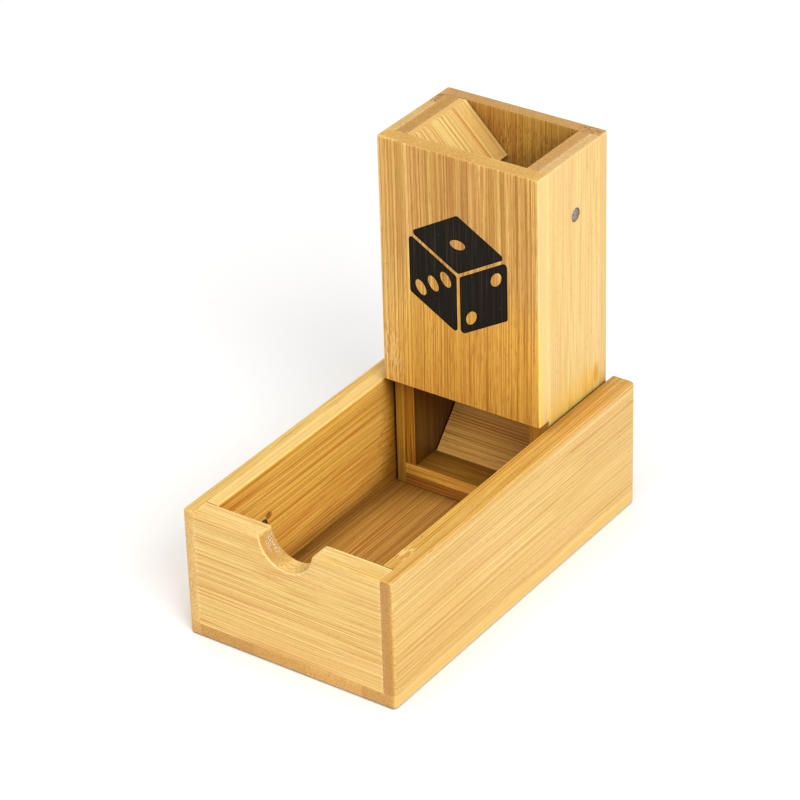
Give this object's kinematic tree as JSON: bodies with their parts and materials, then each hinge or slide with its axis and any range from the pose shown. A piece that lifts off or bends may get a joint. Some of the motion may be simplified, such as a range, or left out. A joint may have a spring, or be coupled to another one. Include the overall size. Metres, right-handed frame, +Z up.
{
  "type": "dice tower",
  "caption": "Two-part bamboo dice tower: an open-backed rolling tray with a finger notch, and a lift-out hollow tower with sloping ramps and a front exit.",
  "frame": {"origin": "middle of the tray's footprint, on the underside of its floor", "axes": "+X to the right as the player faces the tower's front, +Y from the tray's notched front wall towards the tower at its back, +Z up"},
  "size_m": [0.08, 0.142, 0.1384],
  "materials": {
    "tray_bamboo": "satin clear-oiled bamboo strip board, pale straw",
    "tray_inner_bamboo": "satin clear-oiled bamboo strip board, honey",
    "tower_bamboo": "satin clear-oiled bamboo strip board, honey orange, burnt motif on the front",
    "tower_inner_bamboo": "plain sanded bamboo ply, tan brown",
    "ramp_bamboo": "plain sanded bamboo strip board",
    "magnet_nickel": "nickel-plated disc magnet"
  },
  "bodies": {
    "tray": {"tray_floor": "tray_bamboo", "tray_front_wall": "tray_bamboo", "tray_left_outer_ply": "tray_bamboo", "tray_right_outer_ply": "tray_bamboo", "tray_left_inner_ply": "tray_inner_bamboo", "tray_right_inner_ply": "tray_inner_bamboo", "tray_left_front_magnet": "magnet_nickel", "tray_left_rear_magnet": "magnet_nickel", "tray_right_front_magnet": "magnet_nickel", "tray_right_rear_magnet": "magnet_nickel"},
    "tower": {"tower_front_panel": "tower_bamboo", "tower_back_panel": "tower_bamboo", "tower_left_outer_ply": "tower_bamboo", "tower_right_outer_ply": "tower_bamboo", "tower_left_inner_ply": "tower_inner_bamboo", "tower_right_inner_ply": "tower_inner_bamboo", "tower_base_lower_ply": "tower_inner_bamboo", "tower_base_upper_ply": "tower_inner_bamboo", "upper_ramp": "ramp_bamboo", "middle_ramp": "ramp_bamboo", "exit_ramp": "ramp_bamboo", "tower_left_upper_magnet": "magnet_nickel", "tower_left_lower_magnet": "magnet_nickel", "tower_right_upper_magnet": "magnet_nickel", "tower_right_lower_magnet": "magnet_nickel"}
  },
  "joints": [
    {"name": "tower_lift", "type": "slide", "parent": "tray", "child": "tower", "axis": [0, 0, 1], "range_m": [0, 0.06]}
  ]
}
